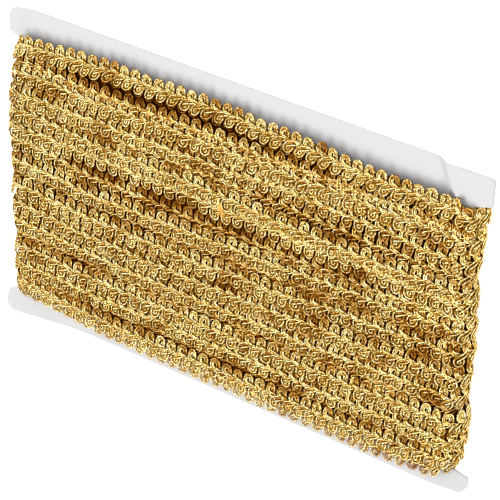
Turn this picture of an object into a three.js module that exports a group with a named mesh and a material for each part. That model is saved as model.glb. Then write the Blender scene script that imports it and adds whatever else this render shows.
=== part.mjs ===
// Gold scroll gimp trim, wound lengthwise round a white cardboard winder.
// Millimetres. The winder lies flat with its face up (+Z): X runs along the turns, Y across them.
// The origin lies under the middle of the winder, on the surface that the winding rests on.

import * as THREE from "three";
import { ParametricGeometry } from "three/addons/geometries/ParametricGeometry.js";

// The winder: a flat card with a notch in each short side, which the turns run through.
const CARD_LENGTH = 190;
const CARD_HEIGHT = 118;
const CARD_THICKNESS = 0.8;
const CARD_MIDDLE_Z = 5.7; // height of the card's middle plane above the resting surface

// The card's four corners stand out past the notches as wings. The notch beside a wing is notchDepth
// deep, and its slanted end runs from its floor to its mouth, at these heights from the card's middle.
// The wing bends at a fold line from foldAtEdge, on the long side, to foldAtNotch, at the end of the
// notch's floor. The card then rises by lift over foldWidth, and a crease stands up where that ends.
const WINGS = [
  { end: 1, side: 1, notchDepth: 11.7, notchFloor: 46, notchMouth: 49.7, corner: 1,
    foldAtEdge: 72, foldAtNotch: 88, foldWidth: 5.3, lift: 2.3, crease: 1.1 },
  { end: -1, side: 1, notchDepth: 8.3, notchFloor: 46, notchMouth: 49.7, corner: 3.5,
    foldAtEdge: 86, foldAtNotch: 88, foldWidth: 6, lift: 1.3, crease: 0 },
  { end: -1, side: -1, notchDepth: 8.3, notchFloor: 48, notchMouth: 52, corner: 4.5,
    foldAtEdge: 58, foldAtNotch: 90, foldWidth: 13, lift: 4.8, crease: 0 },
  { end: 1, side: -1, notchDepth: 11.7, notchFloor: 48, notchMouth: 52, corner: 4.5,
    foldAtEdge: 80, foldAtNotch: 88, foldWidth: 10, lift: -1, crease: 0 },
];
const CREASE_WIDTH = 3.5;

// The grid of the card: columns from its middle to an end, rows from its middle to a long side.
const CARD_COLUMNS = [0, 30, 58, 65, 70, 74, 76, 77.5, 79, 81, 83, 85, 87, 89, 91, 93, 95];
const CARD_ROWS = [20, 46, 47, 48, 49.7, 52, 54, 56, 57.6, 58.6, 59];

// The winding, in layers of one trim.
const CLEARANCE = 0.5; // between the card and the innermost turns
const BUILD_UP = 4.3; // height of the layers on the card's front and back, over the clearance
const END_BUILD_UP = 6; // the turns stand a little looser round the ends
const CROWN = 0.6; // how much fuller the winding is at its middle than near the long sides
const TRIM_ABOVE_LINE = 4.5; // from a turn's middle line to its upper row of loops
const TRIM_BELOW_LINE = 5.4; // from a turn's middle line to its lower row of loops
const EDGE_SHOULDER = 1.6; // rounding of the winding's first and last edge
const CROWDED_FROM = 36; // the notches crowd the turns that lie further out than this
const CROWDING = 0.42; // the share of their distance past it that those turns lose in a notch

// The turns that show, from the top one down. The line columns say where a turn's middle line runs
// across the front, at each place in LINE_X. A sunk turn lies that much lower than its neighbours.
const LINE_X = [-86.7, -50, -15, 20, 55, 83.3];
const TURNS = [
  { line: [46.2, 50.0, 50.2, 48.8, 46.0, 43.8], sunk: 0.5 },
  { line: [39.6, 38.8, 38.7, 37.9, 37.0, 36.4], sunk: 0 },
  { line: [29.4, 29.2, 29.6, 30.3, 29.6, 28.6], sunk: 0.2 },
  { line: [22.2, 21.0, 20.6, 18.8, 17.6, 18.0], sunk: 0.1 },
  { line: [16.8, 16.0, 15.6, 15.0, 14.8, 14.2], sunk: 0 },
  { line: [12.0, 7.6, 7.3, 7.6, 8.0, 8.8], sunk: 1.2 },
  { line: [4.0, 1.0, 1.5, 2.9, 3.8, 5.0], sunk: 0 },
  { line: [-7.6, -8.4, -8.6, -7.2, -5.2, -4.0], sunk: 0.2 },
  { line: [-13.6, -15.5, -15.9, -15.6, -14.6, -13.6], sunk: 0.3 },
  { line: [-20.0, -22.2, -22.7, -22.2, -21.4, -20.4], sunk: 0 },
  { line: [-31.0, -31.2, -31.4, -31.3, -30.8, -29.4], sunk: 0.3 },
  { line: [-38.2, -38.8, -38.7, -38.7, -37.9, -36.8], sunk: 0 },
  { line: [-44.8, -47.2, -47.6, -47.4, -46.8, -44.8], sunk: 0.6 },
];

// One turn's ridge, from its own middle line to the next one's: where each row lies between the two
// lines, as a share, and how far it stands out.
const RIDGE = [
  { share: 0, height: 0.1 },
  { share: 0.36, height: 0.4 },
  { share: 0.54, height: 0.1 },
  { share: 0.62, height: -1.2 },
  { share: 0.82, height: -0.6 },
];

// Stations along the turns: places along X on the front and back, and a count of steps round an end.
const SIDE_X = [
  -86.7, -82, -77, -70, -60, -50, -39, -27, -15, -3, 9, 20, 32, 44, 55, 64, 70, 75, 79.5, 83.3,
];
const END_STEPS = 6;

const WHITE_CARD = { color: 0xf2f1ef, roughness: 0.75, metalness: 0 };
const GOLD_TRIM = { color: 0xd8b45a, roughness: 0.4, metalness: 0.6 };

const smooth = THREE.MathUtils.smoothstep;
const mix = THREE.MathUtils.lerp;
const clamp = THREE.MathUtils.clamp;

// A table's value between its places, with a smooth run from each place to the next.
function along(places, values, at) {
  let i = 0;
  while (i < places.length - 2 && at > places[i + 1]) {
    i += 1;
  }
  return mix(values[i], values[i + 1], smooth(at, places[i], places[i + 1]));
}

// The wing on the same quarter of the card as this point.
function wingAt(x, y) {
  return WINGS.find((wing) => wing.end * x >= 0 && wing.side * y >= 0);
}

// How far the card reaches along X at this height: the whole length past the notch's mouth, drawn in
// to the notch's floor along its slanted end, and rounded at the outer corner.
function cardReach(y, wing) {
  const high = Math.abs(y);
  const end = CARD_LENGTH / 2;
  const intoCorner = high - (CARD_HEIGHT / 2 - wing.corner);
  if (intoCorner > 0) {
    return end - wing.corner + Math.sqrt(Math.max(0, wing.corner ** 2 - intoCorner ** 2));
  }
  const outOfNotch = (high - wing.notchFloor) / (wing.notchMouth - wing.notchFloor);
  return end - wing.notchDepth * (1 - clamp(outOfNotch, 0, 1));
}

// How far the card stands above its flat plane. Only the wings bend, past their fold lines.
function cardLift(x, y) {
  const wing = wingAt(x, y);
  const runX = wing.foldAtNotch - wing.foldAtEdge;
  const runY = CARD_HEIGHT / 2 - wing.notchFloor;
  const fromLine = (Math.abs(x) - wing.foldAtEdge) * runY - (CARD_HEIGHT / 2 - Math.abs(y)) * runX;
  const pastFold = fromLine / Math.hypot(runX, runY);
  const onCrease = Math.max(0, 1 - Math.abs(pastFold - wing.foldWidth) / CREASE_WIDTH);
  return wing.lift * smooth(pastFold, 0, wing.foldWidth) + wing.crease * onCrease ** 2;
}

function makeCard() {
  const columns = [...CARD_COLUMNS.slice(1).map((x) => -x).reverse(), ...CARD_COLUMNS];
  const rows = [...CARD_ROWS.map((y) => -y).reverse(), ...CARD_ROWS];
  const across = columns.length - 1;
  const up = rows.length - 1;
  const sheet = new THREE.BoxGeometry(across, up, CARD_THICKNESS, across, up, 1);
  const place = sheet.getAttribute("position");
  for (let i = 0; i < place.count; i += 1) {
    const column = columns[Math.round(place.getX(i) + across / 2)];
    const y = rows[Math.round(place.getY(i) + up / 2)];
    const x = (column * cardReach(y, wingAt(column, y))) / (CARD_LENGTH / 2);
    place.setXYZ(i, x, y, place.getZ(i) + cardLift(x, y));
  }
  sheet.computeVertexNormals();
  return sheet;
}

// The stations round the card, once about: the front from right to left, the left end, the back and
// the right end. Each says where it stands along X and which way out points.
function makeStations() {
  const stations = [];
  const addEnd = (x, fromAngle) => {
    for (let step = 1; step < END_STEPS; step += 1) {
      const angle = fromAngle + (Math.PI * step) / END_STEPS;
      stations.push({ x, outX: Math.cos(angle), outZ: Math.sin(angle) });
    }
  };
  [...SIDE_X].reverse().forEach((x) => stations.push({ x, outX: 0, outZ: 1 }));
  addEnd(SIDE_X[0], Math.PI / 2);
  SIDE_X.forEach((x) => stations.push({ x, outX: 0, outZ: -1 }));
  addEnd(SIDE_X.at(-1), -Math.PI / 2);
  stations.push(stations[0]);
  return stations;
}

// One section across all the turns at a station: points (y, out), where out is measured from the
// card's middle plane. It runs down the outside of the winding and back up along the card.
function makeSection(station) {
  const inNotch = smooth(Math.abs(station.outX), 0.1, 0.8);
  const crowd = (y) => {
    const past = Math.max(0, Math.abs(y) - CROWDED_FROM);
    return y - Math.sign(y) * past * CROWDING * inNotch;
  };
  const inner = CARD_THICKNESS / 2 + CLEARANCE;
  const buildUp = mix(BUILD_UP, END_BUILD_UP, inNotch);
  const fullAt = (y) => inner + buildUp + CROWN * (1 - (y / (CARD_HEIGHT / 2)) ** 2);
  const lines = TURNS.map((turn) => crowd(along(LINE_X, turn.line, station.x)));
  const top = crowd(along(LINE_X, TURNS[0].line, station.x) + TRIM_ABOVE_LINE);
  const bottom = crowd(along(LINE_X, TURNS.at(-1).line, station.x) - TRIM_BELOW_LINE);

  const points = [
    { y: top - 0.5, out: inner },
    { y: top, out: inner + EDGE_SHOULDER },
    { y: top - 0.4, out: fullAt(top) - EDGE_SHOULDER },
    { y: top - EDGE_SHOULDER, out: fullAt(top) - 0.8 },
  ];
  TURNS.slice(0, -1).forEach((turn, i) => {
    RIDGE.forEach((row) => {
      const y = mix(lines[i], lines[i + 1], row.share);
      const sunk = mix(turn.sunk, TURNS[i + 1].sunk, smooth(row.share, 0.4, 0.7));
      points.push({ y, out: fullAt(y) + row.height - sunk });
    });
  });
  points.push({ y: lines.at(-1), out: fullAt(lines.at(-1)) - TURNS.at(-1).sunk });
  points.push({ y: bottom + EDGE_SHOULDER, out: fullAt(bottom) - 0.6 });
  points.push({ y: bottom, out: fullAt(bottom) - EDGE_SHOULDER });
  points.push({ y: bottom + 0.5, out: inner });
  points.push({ y: bottom / 3, out: inner });
  points.push({ y: top / 3, out: inner });
  points.push(points[0]);
  return points;
}

// The wound form: one closed ring round the card, a grid of stations by section points. What would
// stand under the resting surface is pressed flat against it.
function makeWoundTrim() {
  const stations = makeStations();
  const sections = stations.map(makeSection);
  const lastStation = stations.length - 1;
  const lastPoint = sections[0].length - 1;
  const surface = (u, v, target) => {
    const i = Math.round(u * lastStation);
    const point = sections[i][Math.round(v * lastPoint)];
    const z = Math.max(point.out * stations[i].outZ, -CARD_MIDDLE_Z);
    target.set(stations[i].x + point.out * stations[i].outX, point.y, z);
  };
  return new ParametricGeometry(surface, lastStation, lastPoint);
}

const card = new THREE.Mesh(makeCard(), new THREE.MeshStandardMaterial(WHITE_CARD));
card.name = "card";

const woundTrim = new THREE.Mesh(makeWoundTrim(), new THREE.MeshStandardMaterial(GOLD_TRIM));
woundTrim.name = "wound_trim";

const woundCard = new THREE.Group();
woundCard.position.z = CARD_MIDDLE_Z;
woundCard.add(card, woundTrim);

export default woundCard;
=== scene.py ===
# Gold scroll gimp trim wound on a white winder card. Metres, +Z up: the wound card lies on its back,
# with X along the turns and Y across them.

import math

import bpy
import numpy as np
from mathutils import Matrix, Vector


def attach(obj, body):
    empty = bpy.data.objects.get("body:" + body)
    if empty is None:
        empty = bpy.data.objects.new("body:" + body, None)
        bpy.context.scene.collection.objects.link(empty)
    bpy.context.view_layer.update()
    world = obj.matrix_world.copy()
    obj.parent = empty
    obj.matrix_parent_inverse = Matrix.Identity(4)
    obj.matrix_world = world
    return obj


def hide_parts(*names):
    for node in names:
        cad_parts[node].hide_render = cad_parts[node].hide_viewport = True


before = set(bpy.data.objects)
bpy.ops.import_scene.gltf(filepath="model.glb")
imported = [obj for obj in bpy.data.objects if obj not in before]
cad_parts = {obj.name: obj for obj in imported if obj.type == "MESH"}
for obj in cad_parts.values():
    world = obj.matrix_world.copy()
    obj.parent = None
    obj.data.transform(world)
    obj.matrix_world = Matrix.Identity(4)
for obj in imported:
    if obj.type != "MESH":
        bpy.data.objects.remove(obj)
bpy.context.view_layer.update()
MM = 0.001

# ---------------------------------------------------------------------------------------------------
# The winder card. Die-cut from white-lined grey board, 0.8 mm thick, with a notch in each short side
# that the turns run through. Its four wings have been bent in handling, one of them sharply enough
# to leave a crease.
# ---------------------------------------------------------------------------------------------------

CARD_LENGTH = 190
CARD_HEIGHT = 118
CARD_THICKNESS = 0.8
CARD_MIDDLE = 5.7  # above the resting surface

WINGS = [
    dict(end=1, side=1, notch_depth=11.7, notch_floor=46, notch_mouth=49.7, corner=1,
         fold_at_edge=73, fold_at_notch=79, fold_width=5, lift=2.3, crease=0.5),
    dict(end=-1, side=1, notch_depth=8.3, notch_floor=46, notch_mouth=49.7, corner=3.5,
         fold_at_edge=86, fold_at_notch=88, fold_width=6, lift=1.3, crease=0),
    dict(end=-1, side=-1, notch_depth=8.3, notch_floor=48, notch_mouth=52, corner=4.5,
         fold_at_edge=58, fold_at_notch=90, fold_width=13, lift=4.8, crease=0),
    dict(end=1, side=-1, notch_depth=11.7, notch_floor=48, notch_mouth=52, corner=4.5,
         fold_at_edge=80, fold_at_notch=88, fold_width=10, lift=-1, crease=0),
]
CREASE_WIDTH = 3.5
HELD_FLAT = 45.3  # the turns hold the card flat up to here, and its wings are free past WING_FREE
WING_FREE = 47.3
CARD_WHITE = (0.37, 0.367, 0.364, 1)
BOARD_GREY = (0.30, 0.26, 0.24, 1)


def smooth(value, low, high):
    t = np.clip((value - low) / (high - low), 0, 1)
    return t * t * (3 - 2 * t)


def wing_at(x, y):
    return next(wing for wing in WINGS if wing["end"] * x >= 0 and wing["side"] * y >= 0)


def card_reach(y, wing):
    """How far the card reaches along X at this height: round its corner, or into its notch."""
    into_corner = abs(y) - (CARD_HEIGHT / 2 - wing["corner"])
    if into_corner > 0:
        rise = math.sqrt(max(0, wing["corner"] ** 2 - into_corner**2))
        return CARD_LENGTH / 2 - wing["corner"] + rise
    out_of_notch = (abs(y) - wing["notch_floor"]) / (wing["notch_mouth"] - wing["notch_floor"])
    return CARD_LENGTH / 2 - wing["notch_depth"] * (1 - min(1, max(0, out_of_notch)))


def card_lift(x, y):
    """How far the card stands above its flat plane: past their fold lines, where no turn holds them,
    the wings bend."""
    wing = wing_at(x, y)
    run_x = wing["fold_at_notch"] - wing["fold_at_edge"]
    run_y = CARD_HEIGHT / 2 - wing["notch_floor"]
    from_line = (abs(x) - wing["fold_at_edge"]) * run_y - (CARD_HEIGHT / 2 - abs(y)) * run_x
    past_fold = from_line / math.hypot(run_x, run_y)
    off_crease = min(1, abs(past_fold - wing["fold_width"]) / CREASE_WIDTH)
    ridge = wing["crease"] * (1 - off_crease**2) ** 2
    bent = wing["lift"] * smooth(past_fold, 0, wing["fold_width"]) + ridge
    return bent * smooth(abs(y), HELD_FLAT, WING_FREE)


def card_rows():
    """Heights of the card's rows of vertices: close together round the corners and the notches."""
    fine = [59, 58.9, 58.7, 58.4, 58.1, 57.7, 57.2, 56.6, 55.9, 55.2, 54.5]
    notch = [53.2, 52, 51.2, 50.4, 49.7, 49, 48.4, 48, 47.4, 46.7, 46]
    inside = [45.3, 44, 38, 30, 20, 10]
    high = fine + notch + inside
    return [-y for y in high] + [0] + high[::-1]


def card_columns():
    coarse = np.linspace(-54, 54, 28)
    left = np.linspace(-CARD_LENGTH / 2, -56, 44)
    return [*left, *coarse, *(-left[::-1])]


def link(tree, source, out, target, into):
    tree.links.new(source.outputs[out], target.inputs[into])


bpy.ops.object.select_all(action="DESELECT")
columns, rows = card_columns(), card_rows()
bpy.ops.mesh.primitive_grid_add(x_subdivisions=len(columns) - 1, y_subdivisions=len(rows) - 1, size=2)
card = bpy.context.object
card.name = "winder_card"
for vertex in card.data.vertices:
    column = columns[round((vertex.co.x + 1) / 2 * (len(columns) - 1))]
    y = rows[round((vertex.co.y + 1) / 2 * (len(rows) - 1))]
    x = column * card_reach(y, wing_at(column, y)) / (CARD_LENGTH / 2)
    vertex.co = Vector((x, y, CARD_MIDDLE + card_lift(x, y))) * MM

board = card.modifiers.new("board", "SOLIDIFY")
board.thickness = CARD_THICKNESS * MM
board.offset = 0
board.material_offset_rim = 1
bpy.ops.object.modifier_apply(modifier=board.name)
bpy.ops.object.shade_smooth_by_angle(angle=math.radians(35))


def add_material(piece, name):
    material = bpy.data.materials.new(name)
    material.use_nodes = True
    piece.data.materials.append(material)
    nodes = material.node_tree.nodes
    return material.node_tree, nodes["Principled BSDF"]


def node(tree, kind, **values):
    """Adds a node, with its named sockets and settings."""
    made = tree.nodes.new(kind)
    for key, value in values.items():
        if hasattr(made, key):
            setattr(made, key, value)
        else:
            made.inputs[key.replace("_", " ")].default_value = value
    return made


tree, face = add_material(card, "card_white_lining")
face.inputs["Roughness"].default_value = 0.8
face.inputs["Specular IOR Level"].default_value = 0.2
face.inputs["Base Color"].default_value = CARD_WHITE

tree, rim = add_material(card, "card_cut_edge")
rim.inputs["Roughness"].default_value = 0.9
rim.inputs["Base Color"].default_value = BOARD_GREY

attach(card, "root")
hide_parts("card")

# ---------------------------------------------------------------------------------------------------
# The outermost layer of the trim. A scroll gimp: three cords of gold metallised yarn laid side by
# side, which curl round in a row of loops along each edge and cross over themselves in the middle.
# One length is wound round and round the card, each turn lying partly on the next one down.
# ---------------------------------------------------------------------------------------------------

CORD_RADIUS = 0.28
PLY_PITCH = 0.62
SCROLL = 4.7  # from one lower loop to the next
LOOP_RADII = [0.54, 1.13, 1.71]
LOW_LOOP = -2.95  # the middle of a lower loop, from the turn's middle line
HIGH_LOOP = 1.9  # the middle of an upper loop, half a scroll along
LOW_EDGE = LOW_LOOP - LOOP_RADII[-1] - CORD_RADIUS
HIGH_EDGE = HIGH_LOOP + LOOP_RADII[-1] + CORD_RADIUS

# Each cord's way up from the left of a lower loop to the right of the next upper one, and down from
# the left of an upper loop to the right of the next lower one: along, across and height. The cord
# inside the lower loops comes first, which is outside the upper ones.
RISING = [
    [(-0.52, -2.35, 0.20), (-0.05, -2.02, 0.35), (1.10, -1.55, 0.20), (2.30, -1.08, 0.00),
     (3.30, -0.50, -0.20), (3.85, 0.30, -0.30), (4.05, 1.10, -0.10)],
    [(-1.00, -1.90, -0.25), (-0.40, -1.35, -0.30), (0.90, -0.88, -0.30), (2.20, -0.42, -0.35),
     (2.95, 0.15, -0.45), (3.35, 0.90, -0.35), (3.46, 1.40, -0.15)],
    [(-1.65, -1.75, 0.15), (-1.25, -0.95, 0.30), (-0.45, -0.45, 0.35), (0.70, -0.15, 0.20),
     (1.80, 0.15, -0.10), (2.50, 0.55, -0.30), (2.85, 1.20, -0.15)],
]
FALLING = [
    [(0.64, 1.20, 0.15), (1.00, 0.45, 0.30), (1.80, 0.00, 0.35), (2.90, -0.50, 0.15),
     (3.90, -1.15, -0.15), (4.72, -1.85, -0.35), (5.18, -2.45, -0.30)],
    [(1.24, 1.30, 0.10), (1.52, 0.68, 0.20), (2.25, 0.28, 0.20), (3.30, -0.15, 0.00),
     (4.40, -0.80, -0.25), (5.25, -1.55, -0.45), (5.72, -2.30, -0.40)],
    [(1.80, 1.40, 0.20), (2.02, 0.92, 0.35), (2.60, 0.58, 0.35), (3.60, 0.32, 0.15),
     (4.80, -0.15, -0.15), (5.75, -0.90, -0.35), (6.30, -1.90, -0.35)],
]

LOOP_POINTS = 6
MIDDLE_SINK = -0.45  # the middle cord dips below the other two in the loops
STRAY = [0.24, 0.20, 0.18]  # how far loops stray along, across and in height
TURN_STEP = 0.25
END_STEPS = 58  # round each end of a turn
ON_FLAT = 0.999  # the way out is steeper than this on the front and the back
CORD_SIDES = 5
BENEATH_SIDES = 4

CLEARANCE = 0.5
FRONT_BUILD = 3.3  # from the clearance to the middle of the outermost trim, on the front
BACK_BUILD = 2.8
END_Y = [-50, -36, -28, -20, -8, 2, 17, 27, 42, 50]
LEFT_BUILD = [3.4, 3.7, 3.8, 4.1, 4.6, 4.9, 5.1, 5.2, 4.7, 4.4]
RIGHT_BUILD = [5.6, 7.2, 6.9, 6.1, 6.6, 6.5, 5.3, 5.6, 7.0, 6.8]
CROWN = 1.1  # lower towards the long edges
CROWN_REACH = 54
EDGE_LEAN = 0.11  # every turn's upper edge lies a little lower than its middle
BOWED = 0.02  # and both edges curl down
LEAN_FROM = 1  # the loops past this lean along the turn
SHINGLE = 1.5  # how far a turn's lower edge is raised on the next turn, for this overlap:
FULL_OVERLAP = 0.5
LEAST_PITCH = 6
BACK_PITCH = 7.5
BACK_LIMIT = 46
OUTER_PITCH = 5  # past the first and the last turn
OUT_WANDER = dict(size=0.25, waves=(31, 47, 83))
ACROSS_WANDER = dict(size=0.35, waves=(23, 41, 67))
CROWDED_FROM = 36
CROWDING = dict(bottom=0.20, top_right=0.11, top_left=0.43)  # into the notches

# How much painted shade the yarn gets, in the material's own scale: painted darker where a cord dips
# and where other turns cover it, as shade would fall there.
SHADE_ON_TOP = 0.5
SHADE_PER_DIP = 2.0
SHADE_PER_COVER = 0.58

# The turns that show, from the top one down: where a turn's middle line runs across the front, at
# each place along X, and how far the turn is sunk between its neighbours there.
LINE_X = [-86.7, -50, -15, 20, 55, 83.3]
TURNS = [
    dict(line=[48.2, 49.9, 50.2, 48.9, 46.7, 46.2], sunk=0, scroll=4.56, lean=0.42, lean_up=0.08, tilt=0.2,
         tilt_up=-0.08),
    dict(line=[37.4, 36.8, 37.0, 37.0, 36.8, 36.9], sunk=0.2, scroll=4.62, lean=0.15),
    dict(line=[29.6, 29.5, 29.9, 31.0, 30.4, 28.8], sunk=0.1, scroll=4.59, lean=0.1),
    dict(line=[22.8, 21.0, 20.6, 18.8, 17.6, 18.0], sunk=0.1, scroll=4.65, lean=0.1),
    dict(line=[16.8, 16.3, 15.7, 15.0, 14.8, 14.2], sunk=0, scroll=4.72, lean=0),
    dict(line=[11.5, 7.4, 6.9, 6.9, 7.4, 8.4], sunk=[0, 1.1, 1.2, 1.2, 1.1, 0.5], scroll=4.7, lean=0),
    dict(line=[3.2, 1.4, 1.9, 2.8, 3.6, 4.7], sunk=0, scroll=4.84, lean=0.12),
    dict(line=[-6.5, -7.9, -8.3, -7.1, -5.1, -3.8], sunk=0.1, scroll=4.82, lean=0),
    dict(line=[-13.6, -15.4, -15.8, -15.2, -13.8, -12.3], sunk=0.2, scroll=4.7, lean=0.1),
    dict(line=[-20.0, -22.2, -22.7, -22.2, -21.4, -20.4], sunk=0, scroll=4.66, lean=0.15),
    dict(line=[-30.6, -31.7, -31.5, -31.3, -30.8, -29.4], sunk=0.2, scroll=4.6, lean=0.1),
    dict(line=[-37.4, -38.1, -37.3, -37.9, -37.8, -36.6], sunk=0, scroll=4.5, lean=0.1),
    dict(line=[-45.2, -47.3, -47.4, -47.3, -46.9, -44.8], sunk=0, scroll=4.65, lean=0),
    dict(line=[-46.6, -49.3, -50.1, -50.3, -50.5, -49.2], sunk=0.1, scroll=4.65, lean=0, phase=0.5),
]
LEFT, RIGHT = LINE_X[0], LINE_X[-1]
random = np.random.default_rng(7)


def along(values, x):
    """A table's values between its places along X, with a smooth run from each to the next."""
    values = np.broadcast_to(values, len(LINE_X))
    i = np.clip(np.searchsorted(LINE_X, x) - 1, 0, len(LINE_X) - 2)
    places = np.array(LINE_X)
    share = smooth(x, places[i], places[i + 1])
    return values[i] * (1 - share) + values[i + 1] * share


def wander(x, size, waves):
    """A slow, uneven sway with no repeat, from a few sine waves."""
    total = np.zeros_like(x)
    for wave in waves:
        total += size * np.sin(2 * np.pi * (x / wave + random.random())) / len(waves)
    return total


def winding(step, arc_steps):
    """Places along X and the way out, once round the card: from the middle of the back round the
    left end, over the front and round the right end."""
    middle = (LEFT + RIGHT) / 2
    arc = np.linspace(0, np.pi, arc_steps + 2)[1:-1]
    to_left = np.arange(middle, LEFT, -step)
    over = np.arange(LEFT, RIGHT, step)
    to_middle = np.arange(RIGHT, middle, -step)
    x = np.concatenate([to_left, np.full(arc_steps, LEFT), over, np.full(arc_steps, RIGHT), to_middle])
    back, front = 0 * to_left, 0 * over
    out_x = np.concatenate([back, -np.sin(arc), front, np.sin(arc), 0 * to_middle])
    out_z = np.concatenate([back - 1, -np.cos(arc), front + 1, np.cos(arc), 0 * to_middle - 1])
    return x, out_x, out_z


def end_share(out_x):
    """0 on the flat faces, and 1 well round an end."""
    return smooth(np.abs(out_x), 0.1, 0.8)


def stand_out(y, out_x, out_z, in_end):
    """How far the outermost trim stands from the middle of the card."""
    flat = np.where(out_z > 0, FRONT_BUILD, BACK_BUILD)
    at_end = np.where(out_x > 0, np.interp(y, END_Y, RIGHT_BUILD), np.interp(y, END_Y, LEFT_BUILD))
    crown = CROWN * (1 - (y / CROWN_REACH) ** 4)
    return CARD_THICKNESS / 2 + CLEARANCE + flat + (at_end - flat) * in_end + crown


def crowded(y, out_x, in_end):
    """The turns draw together where they run through the notches."""
    above = np.where(out_x > 0, CROWDING["top_right"], CROWDING["top_left"])
    past = np.maximum(0, np.abs(y) - CROWDED_FROM)
    return y - np.sign(y) * past * np.where(y > 0, above, CROWDING["bottom"]) * in_end


class Turn:
    """One turn of the trim, as dense samples along its length."""

    def __init__(self, here, above=None, below=None):
        self.here = here
        self.x, self.out_x, self.out_z = winding(TURN_STEP, END_STEPS)
        back = self.out_z < -ON_FLAT
        first = np.arange(len(self.x)) < len(self.x) / 2
        left_y, right_y = here["line"][0], here["line"][-1]
        from_y = above["line"][-1] if above else left_y + OUTER_PITCH
        to_y = below["line"][0] if below else right_y - OUTER_PITCH
        to_left = smooth(RIGHT - self.x, 0, RIGHT - LEFT)
        back_y = np.where(first, from_y + (left_y - from_y) * to_left, right_y + (to_y - right_y) * to_left)
        self.y = np.where(back, np.clip(back_y, -BACK_LIMIT, BACK_LIMIT), along(here["line"], self.x))
        self.lean_above = self.shingle(above, here, back)
        self.lean_below = self.shingle(here, below, back)
        self.in_end = end_share(self.out_x)
        sunk = np.where(back, 0, along(here["sunk"], self.x))
        self.out = stand_out(self.y, self.out_x, self.out_z, self.in_end) - sunk
        self.out += wander(self.x, **OUT_WANDER)
        self.y += wander(self.x, **ACROSS_WANDER) * (1 - self.in_end)
        points = np.stack([self.x + self.out_x * self.out, self.out_z * self.out], axis=1)
        steps = np.linalg.norm(np.diff(points, axis=0), axis=1)
        self.s = np.concatenate([[0], np.cumsum(steps)])

    def shingle(self, upper, lower, back):
        """How steeply two neighbours lean where they overlap: the upper one's lower edge lies on top."""
        if upper is None or lower is None:
            return 0 * self.x
        gap = np.where(back, BACK_PITCH, along(upper["line"], self.x) - along(lower["line"], self.x))
        overlap = np.maximum(0, HIGH_EDGE - LOW_EDGE - gap)
        buried = np.where(back, 0, along(upper["sunk"], self.x) - along(lower["sunk"], self.x))
        raised = SHINGLE * (1 - np.exp(-overlap / FULL_OVERLAP)) * (1 - smooth(buried, 0, 1))
        return raised / np.maximum(gap, LEAST_PITCH)

    def place(self, s, across, height):
        """Points on this turn: s along it, across up from its middle line, and height outwards. With
        each go the way out there and how much painted shade it gets."""
        skew = np.where(across < 0, self.here["lean"], self.here.get("lean_up", self.here["lean"]))
        s = s + skew * (across - np.clip(across, -LEAN_FROM, LEAN_FROM))

        def pick(values):
            return np.interp(s, self.s, values)

        lean = np.where(across > 0, pick(self.lean_above), pick(self.lean_below))
        tilt = np.where(across < 0, self.here.get("tilt", 0), self.here.get("tilt_up", EDGE_LEAN))
        out = pick(self.out) + height - (lean + tilt) * across - BOWED * across**2
        y = pick(self.y) + across
        out_x, out_z = pick(self.out_x), pick(self.out_z)
        y = crowded(y, out_x, pick(self.in_end))
        out = np.minimum(out, (CARD_MIDDLE - CORD_RADIUS) / np.maximum(0.01, -out_z))
        point = np.stack([pick(self.x) + out_x * out, y, CARD_MIDDLE + out_z * out], axis=-1)
        way_out = np.stack([out_x, np.zeros_like(out_x), out_z], axis=-1)
        # Painted shade: deeper cords and trim covered by other turns are painted darker.
        covered = stand_out(y, out_x, out_z, pick(self.in_end)) - out + height
        depth = SHADE_ON_TOP - SHADE_PER_DIP * height + SHADE_PER_COVER * covered
        return point, way_out, depth


def half_circle(centre, radius, start, end, height):
    """Points round half a loop."""
    angle = np.radians(np.linspace(start, end, LOOP_POINTS))
    flat = centre[0] + radius * np.cos(angle), centre[1] + radius * np.sin(angle)
    return np.stack([*flat, np.full(LOOP_POINTS, height)], axis=-1)


def cord_route(which, scrolls, length, sway):
    """One cord of the gimp, as points (along, across, height), through scrolls of this length."""
    sink = MIDDLE_SINK if which == 1 else 0
    lower = half_circle((0, LOW_LOOP), LOOP_RADII[which], 0, -180, sink)
    upper = half_circle((SCROLL / 2, HIGH_LOOP), LOOP_RADII[2 - which], 0, 180, sink / 3)
    scroll = np.concatenate([lower, RISING[which], upper, FALLING[which]])
    route = np.tile(scroll, (len(scrolls), 1, 1))
    route[..., 0] = (route[..., 0] / SCROLL + scrolls[:, None]) * length
    route = route.reshape(-1, 3)
    return route + sway(route)


def uneven(length, reach):
    """How the loops of a turn stray from their places: those above and below go their own way."""
    places = np.arange(0, reach + 4 * length, length)
    wobble = random.normal(0, 1, (2, 3, len(places))) * np.array(STRAY)[None, :, None]

    def sway(route):
        low, high = (np.array([np.interp(route[:, 0], places, w) for w in part]) for part in wobble)
        share = smooth(route[:, 1], -2, 2)
        return (low * (1 - share) + high * share).T

    return sway


def gimp_cords(turn, start, end, hidden):
    """The three cords of a turn between two places along it. Where they are hidden, and on the back,
    every third point is left out. A loop stands at the middle of the front, or half a scroll off it."""
    length = turn.here["scroll"]
    front = turn.out_z > ON_FLAT
    middle = np.interp(0, turn.x[front], turn.s[front]) / length + turn.here.get("phase", 0)
    scrolls = middle + np.arange(math.floor(start / length - middle), math.ceil(end / length - middle) + 1)
    sway = uneven(length, turn.s[-1])
    cords = []
    for which in range(3):
        route = cord_route(which, scrolls, length, sway)
        route = route[(route[:, 0] > start) & (route[:, 0] < end)]
        seen = (np.interp(route[:, 0], turn.s, turn.out_z) > -0.95) & (not hidden)
        seen |= np.arange(len(route)) % 3 > 0
        cords.append(turn.place(*route[seen].T))
    return cords


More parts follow.
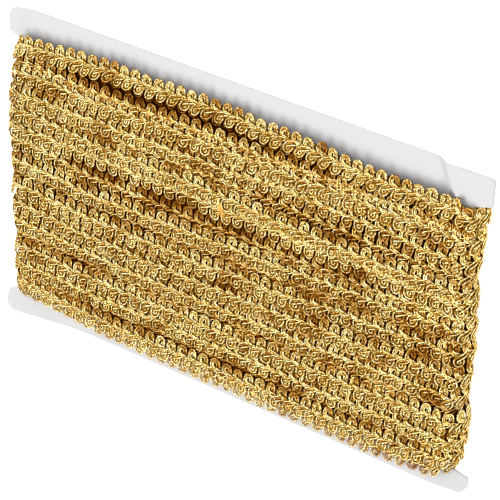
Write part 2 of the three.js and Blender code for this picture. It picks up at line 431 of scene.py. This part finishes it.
def tube(points, way_out, radius, sides):
    """Vertices and faces of a cord along these points, and its UV map: once round across, and
    millimetres along. Its ends are left open here; cord_piece closes them."""
    ahead = np.gradient(points, axis=0)
    ahead /= np.linalg.norm(ahead, axis=1, keepdims=True)
    beside = np.cross(ahead, way_out)
    beside /= np.linalg.norm(beside, axis=1, keepdims=True)
    up = np.cross(beside, ahead)
    turn = 2 * np.pi * np.arange(sides) / sides
    ring = np.cos(turn)[None, :, None] * beside[:, None] + np.sin(turn)[None, :, None] * up[:, None]
    vertices = (points[:, None] + radius * ring).reshape(-1, 3)
    rings = np.arange(len(points) - 1)[:, None] * sides
    side = np.arange(sides)[None, :]
    after = (side + 1) % sides
    quads = np.stack([rings + side, rings + after, rings + sides + after, rings + sides + side], axis=-1)
    length = np.concatenate([[0], np.cumsum(np.linalg.norm(np.diff(points, axis=0), axis=1))])
    here, there = length[:-1, None], length[1:, None]
    round_a = np.broadcast_to(side / sides, quads.shape[:2])
    round_b = round_a + 1 / sides
    uv = np.stack([
        np.stack([round_a, here + 0 * round_a], axis=-1),
        np.stack([round_b, here + 0 * round_a], axis=-1),
        np.stack([round_b, there + 0 * round_a], axis=-1),
        np.stack([round_a, there + 0 * round_a], axis=-1),
    ], axis=2)
    return vertices, quads.reshape(-1, 4)[:, ::-1], uv.reshape(-1, 4, 2)[:, ::-1]


def cord_piece(name, cords, radius, sides):
    """One mesh of several cords, each given as its points in millimetres, the way out and how much painted
    shade it gets.
    """
    vertices, faces, uvs, caps, depths, offset = [], [], [], [], [], 0
    for points, way_out, depth in cords:
        depths.append(np.repeat(depth, sides))
        made, quads, uv = tube(points, way_out, radius, sides)
        vertices.append(made)
        faces.append(quads + offset)
        uvs.append(uv)
        last = len(made) - sides
        caps.append([*range(offset, offset + sides)])
        caps.append([*range(offset + last + sides - 1, offset + last - 1, -1)])
        offset += len(made)
    quads = np.concatenate(faces)
    corners = np.concatenate([quads.ravel(), np.array(caps).ravel()])
    starts = np.concatenate([np.arange(len(quads)) * 4, len(quads) * 4 + np.arange(len(caps)) * sides])
    mesh = bpy.data.meshes.new(name)
    mesh.vertices.add(offset)
    mesh.vertices.foreach_set("co", (np.concatenate(vertices) * MM).ravel())
    mesh.loops.add(len(corners))
    mesh.loops.foreach_set("vertex_index", corners)
    mesh.polygons.add(len(starts))
    mesh.polygons.foreach_set("loop_start", starts)
    mesh.update(calc_edges=True)
    flat_uv = np.zeros((len(corners), 2))
    flat_uv[: len(quads) * 4] = np.concatenate(uvs).reshape(-1, 2)
    layer = mesh.uv_layers.new(name="yarn")
    layer.data.foreach_set("uv", flat_uv.ravel())
    # The depth attribute holds how much painted shade each point gets.
    mesh.attributes.new("depth", "FLOAT", "POINT").data.foreach_set("value", np.concatenate(depths))
    mesh.polygons.foreach_set("use_smooth", np.ones(len(starts), bool))
    piece = bpy.data.objects.new(name, mesh)
    bpy.context.scene.collection.objects.link(piece)
    return piece


# Ten lengths of the layer beneath, which show in the gaps between the turns.
BENEATH = [
    dict(line=[46.8, 47.6, 47.7, 46.5, 44.8, 45.0], sunk=[1.1, 1.4, 1.4, 1.4, 1.3, 0.5], scroll=4.56,
         lean=0.2, phase=0.5),
    dict(line=[41.0, 39.8, 39.9, 39.6, 39.0, 38.2], sunk=[1.0, 0.8, 0.7, 0.7, 0.7, 0.8], scroll=4.7, lean=0,
         phase=0.5),
    dict(line=[33.4, 33.0, 33.4, 34.0, 33.4, 32.6], sunk=1.7, scroll=4.7, lean=0),
    dict(line=[26.0, 25.2, 25.2, 24.6, 23.6, 23.4], sunk=[1.2, 1.3, 1.1, 0.9, 0.8, 0.8], scroll=4.7, lean=0),
    dict(line=[-1.2, -3.2, -3.3, -2.6, -1.2, 0.4], sunk=[1.0, 1.3, 1.3, 1.3, 1.2, 1.1], scroll=4.7, lean=0),
    dict(line=[-10.6, -12.2, -12.6, -11.8, -10.2, -8.8], sunk=1.7, scroll=4.75, lean=0),
    dict(line=[-17.0, -19.0, -19.4, -19.0, -18.0, -17.0], sunk=1.7, scroll=4.6, lean=0),
    dict(line=[-25.6, -26.6, -27.0, -26.8, -26.0, -25.0], sunk=[1.1, 1.2, 1.1, 1.1, 1.1, 1.1], scroll=4.7,
         lean=0),
    dict(line=[-34.4, -35.0, -34.8, -34.6, -34.0, -32.6], sunk=1.7, scroll=4.65, lean=0),
    dict(line=[-41.6, -43.0, -43.2, -43.0, -42.4, -41.0], sunk=[1.3, 1.6, 1.7, 1.6, 1.4, 1.1], scroll=4.7,
         lean=0),
]

CLEAR_OF_DIPS = (1, 1, 1, 1)
# Painted shade down the flanks of each cord.
PAINTED_FLANK_SHADE = (0.20, 0.085, 0.012, 1)
# The yarn's gold in fine random flecks: its own uneven tone, with painted glints for the sparkle of its
# filaments and painted shade for dark pits between its fibres.
GLINTS = [(0.41, (0.38, 0.19, 0.018, 1)), (0.5, (0.99, 0.755, 0.212, 1)), (0.60, (1.0, 0.945, 0.59, 1))]
# Painted shade by the depth attribute: darker for deeper and covered yarn.
DIMMED = [(0.17, CLEAR_OF_DIPS), (0.36, (0.66, 0.44, 0.21, 1)), (0.56, (0.30, 0.125, 0.02, 1)),
          (0.9, (0.10, 0.035, 0.004, 1))]
DEEPEST = 3
FIBRE_RELIEF = 1.6  # against the plies' own relief


def tones(tree, source, out, stops):
    """A colour ramp fed by this output, with a colour at each position."""
    ramp = node(tree, "ShaderNodeValToRGB")
    link(tree, source, out, ramp, "Fac")
    first, *between, last = stops
    for element, (position, colour) in zip(ramp.color_ramp.elements, (first, last)):
        element.position = position
        element.color = colour
    for position, colour in between:
        ramp.color_ramp.elements.new(position).color = colour
    return ramp


def yarn_relief(tree, gold, axes, place):
    """The plies that run round the cord, and the fine fibres over them, as a bump."""
    round_cord = node(tree, "ShaderNodeMath", operation="MULTIPLY_ADD")
    link(tree, axes, "X", round_cord, 0)
    round_cord.inputs[1].default_value = 2 * math.pi
    along_cord = node(tree, "ShaderNodeMath", operation="MULTIPLY")
    link(tree, axes, "Y", along_cord, 0)
    along_cord.inputs[1].default_value = 2 * math.pi / PLY_PITCH
    link(tree, along_cord, "Value", round_cord, 2)
    ply = node(tree, "ShaderNodeMath", operation="SINE")
    link(tree, round_cord, "Value", ply, 0)
    fibres = node(tree, "ShaderNodeTexNoise", Scale=1400, Detail=3, Roughness=0.7)
    link(tree, place, "Object", fibres, "Vector")
    relief = node(tree, "ShaderNodeMath", operation="MULTIPLY_ADD")
    link(tree, fibres, "Fac", relief, 0)
    relief.inputs[1].default_value = FIBRE_RELIEF
    link(tree, ply, "Value", relief, 2)
    bump = node(tree, "ShaderNodeBump", Strength=0.8, Distance=0.00007)
    link(tree, relief, "Value", bump, "Height")
    link(tree, bump, "Normal", gold, "Normal")


def painted_shade(tree, colour, axes):
    """The yarn's colour with painted shade: darker where the cord lies deep and where other turns cover it,
    and down each cord's flanks.
    """
    sunken = node(tree, "ShaderNodeAttribute", attribute_name="depth")
    depth_share = node(tree, "ShaderNodeMapRange", From_Max=DEEPEST)
    link(tree, sunken, "Fac", depth_share, "Value")
    dim = tones(tree, depth_share, "Result", DIMMED)
    shadow = node(tree, "ShaderNodeMix", data_type="RGBA", blend_type="MULTIPLY")
    shadow.inputs[0].default_value = 1
    link(tree, colour, "Color", shadow, 6)
    link(tree, dim, "Color", shadow, 7)
    round_only = node(tree, "ShaderNodeMath", operation="MULTIPLY")
    link(tree, axes, "X", round_only, 0)
    round_only.inputs[1].default_value = 2 * math.pi
    lift = node(tree, "ShaderNodeMath", operation="SINE")
    link(tree, round_only, "Value", lift, 0)
    flank = node(tree, "ShaderNodeMapRange", interpolation_type="SMOOTHSTEP", From_Min=0.95, From_Max=0.1)
    link(tree, lift, "Value", flank, "Value")
    flank_shade = node(tree, "ShaderNodeMix", data_type="RGBA", blend_type="MULTIPLY")
    link(tree, flank, "Result", flank_shade, 0)
    link(tree, shadow, 2, flank_shade, 6)
    flank_shade.inputs[7].default_value = PAINTED_FLANK_SHADE
    return flank_shade


def gold_yarn(piece):
    """Gold metallised yarn, twisted into a cord."""
    tree, gold = add_material(piece, "gold_metallised_yarn")
    gold.inputs["Metallic"].default_value = 1
    gold.inputs["Specular Tint"].default_value = (0.90, 0.66, 0.28, 1)
    cord_map = node(tree, "ShaderNodeUVMap", uv_map="yarn")
    axes = node(tree, "ShaderNodeSeparateXYZ")
    link(tree, cord_map, "UV", axes, "Vector")
    place = node(tree, "ShaderNodeTexCoord")
    yarn_relief(tree, gold, axes, place)
    glints = node(tree, "ShaderNodeTexNoise", Scale=1300, Detail=2, Roughness=0.6)
    link(tree, place, "Object", glints, "Vector")
    colour = tones(tree, glints, "Fac", GLINTS)
    link(tree, painted_shade(tree, colour, axes), 2, gold, "Base Color")
    polish = node(tree, "ShaderNodeMapRange", From_Min=0.35, From_Max=0.65, To_Min=0.5, To_Max=0.26)
    link(tree, glints, "Fac", polish, "Value")
    link(tree, polish, "Result", gold, "Roughness")
    return piece.data.materials[0]


yarn = None
for index, here in enumerate(TURNS + BENEATH):
    if here in TURNS:
        name = f"trim_turn_{index + 1:02d}"
        above = TURNS[index - 1] if index > 0 else None
        below = TURNS[index + 1] if index + 1 < len(TURNS) else None
        turn = Turn(here, above, below)
        cords = gimp_cords(turn, 0, turn.s[-1], False)
    else:
        name = f"trim_beneath_{index + 1 - len(TURNS):02d}"
        turn = Turn(here)
        cords = gimp_cords(turn, *turn.s[np.flatnonzero(turn.out_z > -ON_FLAT)[[0, -1]]], True)
    trim = cord_piece(name, cords, CORD_RADIUS, CORD_SIDES if here in TURNS else BENEATH_SIDES)
    if yarn is None:
        yarn = gold_yarn(trim)
    else:
        trim.data.materials.append(yarn)
    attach(trim, "root")
    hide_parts("wound_trim")

# ---------------------------------------------------------------------------------------------------
# The cut end of the length, tucked between two turns on the front: the bare orange-gold yarns of its
# cords, which lie fanned out over the loops.
# ---------------------------------------------------------------------------------------------------

END_YARNS = 7
END_YARN_RADIUS = 0.14
END_FROM = (-3.8, 18.6)
END_MIDDLE = (-2.0, 14.6)
END_TIP = (-0.5, 11.0)
END_POINTS = 16
END_FAN = (1.0, 0.45)
END_STRAY = 0.16
END_SIDES = 6
END_DARK = (0.30, 0.11, 0.006, 1)
END_BRIGHT = (0.85, 0.50, 0.09, 1)

yarns = []
for index in range(END_YARNS):
    share = np.linspace(0, 1, END_POINTS)[:, None]
    beside = index / (END_YARNS - 1) - 0.5
    flat = (1 - share) ** 2 * np.array(END_FROM) + share**2 * np.array(END_TIP)
    flat = flat + 2 * share * (1 - share) * np.array(END_MIDDLE)
    flat = flat + beside * np.array(END_FAN) * (0.8 + 1.8 * share**1.5)
    flat += random.normal(0, END_STRAY, (END_POINTS, 2)).cumsum(axis=0) * 0.25
    height = stand_out(flat[:, 1], 0, 1, 0) + 0.45 + 0.25 * np.sin(np.pi * share[:, 0])
    height -= 0.8 * share[:, 0] ** 4
    height -= 0.6 * (1 - share[:, 0]) ** 4 + 0.2 * abs(beside)
    points = np.stack([flat[:, 0], flat[:, 1], CARD_MIDDLE + height], axis=-1)
    way_out = np.broadcast_to([0.0, 0.0, 1.0], points.shape)
    yarns.append((points, way_out, 0 * height))

cut_end = cord_piece("trim_cut_end", yarns, END_YARN_RADIUS, END_SIDES)
tree, bare = add_material(cut_end, "bare_orange_yarn")
bare.inputs["Metallic"].default_value = 0.7
bare.inputs["Roughness"].default_value = 0.4
cord_map = node(tree, "ShaderNodeUVMap", uv_map="yarn")
strands = node(tree, "ShaderNodeTexWave", bands_direction="DIAGONAL", Scale=1.2, Distortion=2)
link(tree, cord_map, "UV", strands, "Vector")
shade = tones(tree, strands, "Fac", [(0, END_DARK), (1, END_BRIGHT)])
link(tree, shade, "Color", bare, "Base Color")
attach(cut_end, "root")
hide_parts("wound_trim")

# ---------------------------------------------------------------------------------------------------
# The rest of the trim beneath, as one plain closed band round the card. It shows in the gaps between
# the turns as a bed painted nearly black, painted shade for the gold trim lying deep there, and its
# edges are coloured like cords seen edge on.
# ---------------------------------------------------------------------------------------------------

UNDER_DEPTH = 2.3  # below the outermost trim on the front
UNDER_DEPTH_BACK = 1.2
UNDER_RISE = 1.1  # less deep than that round the ends
UNDER_EDGE_BACK = 44
UNDER_INSET = 0.5
UNDER_STEP = 4
UNDER_END_STEPS = 12
UNDER_ROWS = 40
UNDER_CLEARANCE = 0.3
UNDER_REST = 1  # kept above the resting surface
NOT_BACK = -0.9
# Painted shade: the bed is painted nearly black for gold trim that lies deep in shadow.
PAINTED_BED_SHADE = (0.03, 0.008, 0.0006, 1)
EDGE_TONES = [(0.42, (0.06, 0.018, 0.001, 1)), (0.60, (0.78, 0.50, 0.14, 1))]


def under_layer():
    """The band's points: round the card, and up its outside then down its inside."""
    x, out_x, out_z = winding(UNDER_STEP, UNDER_END_STEPS)
    in_end = end_share(out_x)[:, None]
    share = np.linspace(0, 1, UNDER_ROWS)[None, :]
    top_line, bottom_line = along(TURNS[0]["line"], x), along(TURNS[-1]["line"], x)
    top = np.where(out_z > NOT_BACK, top_line, UNDER_EDGE_BACK)[:, None] - UNDER_INSET
    bottom = np.where(out_z > NOT_BACK, bottom_line, -UNDER_EDGE_BACK)[:, None] + UNDER_INSET
    y = top + (bottom - top) * share
    out_x, out_z, x = out_x[:, None], out_z[:, None], x[:, None]
    y = crowded(y, out_x, in_end)
    depth = np.where(out_z > NOT_BACK, UNDER_DEPTH - UNDER_RISE * in_end, UNDER_DEPTH_BACK)
    out = stand_out(y, out_x, out_z, in_end) - depth - 0.8 * (2 * share - 1) ** 8
    out = np.minimum(out, (CARD_MIDDLE - UNDER_REST) / np.maximum(0.01, -out_z))
    inner = CARD_THICKNESS / 2 + UNDER_CLEARANCE + 0 * y
    outside, inside = (
        np.stack([x + out_x * r, y, CARD_MIDDLE + out_z * r], axis=-1) for r in (out, inner)
    )
    return np.concatenate([outside, inside[:, ::-1]], axis=1)


grid = under_layer()
around, across = grid.shape[:2]
i = np.arange(around)[:, None]
j = np.arange(across)[None, :]
i2, j2 = (i + 1) % around, (j + 1) % across
quads = np.stack([i * across + j, i * across + j2, i2 * across + j2, i2 * across + j], axis=-1)
quads = quads.reshape(-1, 4)
mesh = bpy.data.meshes.new("trim_beneath")
mesh.from_pydata((grid.reshape(-1, 3) * MM).tolist(), [], quads.tolist())
mesh.polygons.foreach_set("use_smooth", np.ones(len(quads), bool))
rim = np.zeros((around, across))
rim[:, [0, across // 2 - 1, across // 2, across - 1]] = 1
mesh.attributes.new("rim", "FLOAT", "POINT").data.foreach_set("value", rim.ravel())
beneath = bpy.data.objects.new("trim_beneath", mesh)
bpy.context.scene.collection.objects.link(beneath)
tree, dull = add_material(beneath, "gold_in_shade")
place = node(tree, "ShaderNodeTexCoord")
stretch = node(tree, "ShaderNodeMapping", Scale=(0.25, 1, 1))
link(tree, place, "Object", stretch, "Vector")
edges = node(tree, "ShaderNodeTexNoise", Scale=900, Detail=3, Roughness=0.6)
link(tree, stretch, "Vector", edges, "Vector")
shade = tones(tree, edges, "Fac", EDGE_TONES)
at_rim = node(tree, "ShaderNodeAttribute", attribute_name="rim")
blend = node(tree, "ShaderNodeMix", data_type="RGBA")
link(tree, at_rim, "Fac", blend, 0)
blend.inputs[6].default_value = PAINTED_BED_SHADE
link(tree, shade, "Color", blend, 7)
link(tree, blend, 2, dull, "Base Color")
relief = node(tree, "ShaderNodeBump", Strength=0.9, Distance=0.0004)
link(tree, edges, "Fac", relief, "Height")
link(tree, relief, "Normal", dull, "Normal")
dull.inputs["Specular IOR Level"].default_value = 0
dull.inputs["Roughness"].default_value = 0.9
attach(beneath, "root")
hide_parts("wound_trim")

# ---------------------------------------------------------------------------------------------------
# The studio: a white floor that glows a little, a soft light all round, two large soft boxes, and a
# long lens looking down across the wound card.
# ---------------------------------------------------------------------------------------------------

bpy.ops.object.select_all(action="DESELECT")
bpy.ops.mesh.primitive_plane_add(size=6)
floor = bpy.context.object
floor.name = "floor"
tree, paper = add_material(floor, "white_floor")
paper.inputs["Base Color"].default_value = (0.95, 0.95, 0.95, 1)
paper.inputs["Roughness"].default_value = 0.9
paper.inputs["Emission Color"].default_value = (1, 1, 1, 1)
paper.inputs["Emission Strength"].default_value = 0.65

world = bpy.data.worlds.new("studio")
world.use_nodes = True
world.node_tree.nodes["Background"].inputs["Color"].default_value = (1, 1, 1, 1)
world.node_tree.nodes["Background"].inputs["Strength"].default_value = 0.27
bpy.context.scene.world = world

VIEW_AZIMUTH = math.radians(46.3)
VIEW_ELEVATION = math.radians(45.8)
VIEW_ROLL = math.radians(-123.9)
VIEW_DISTANCE = 0.809
VIEW_CENTRE = Vector((4.9, -1.0, 3.5)) * MM
VIEW_LENS = 176.4

towards = Vector((
    math.cos(VIEW_ELEVATION) * math.cos(VIEW_AZIMUTH),
    math.cos(VIEW_ELEVATION) * math.sin(VIEW_AZIMUTH),
    math.sin(VIEW_ELEVATION),
))
lens = bpy.data.cameras.new("camera")
lens.sensor_width = 36
lens.lens = VIEW_LENS
camera = bpy.data.objects.new("camera", lens)
aim = towards.to_track_quat("Z", "Y").to_matrix().to_4x4()
camera.matrix_world = (
    Matrix.Translation(VIEW_CENTRE + towards * VIEW_DISTANCE) @ aim @ Matrix.Rotation(VIEW_ROLL, 4, "Z")
)
bpy.context.scene.collection.objects.link(camera)
bpy.context.scene.camera = camera


def soft_light(name, energy, place):
    """A large soft box at this place, aimed at the card."""
    light = bpy.data.lights.new(name, "AREA")
    light.shape = "RECTANGLE"
    light.size, light.size_y = 1.0, 0.8
    light.energy = energy
    box = bpy.data.objects.new(name, light)
    box.location = place
    box.rotation_euler = (Vector((0, 0, 0)) - box.location).to_track_quat("-Z", "Y").to_euler()
    bpy.context.scene.collection.objects.link(box)


soft_light("soft_box", 21.5, (-0.14, -0.06, 1.09))
soft_light("fill_box", 9, (0.25, 0.62, 0.85))
bpy.context.scene.view_settings.view_transform = "Standard"
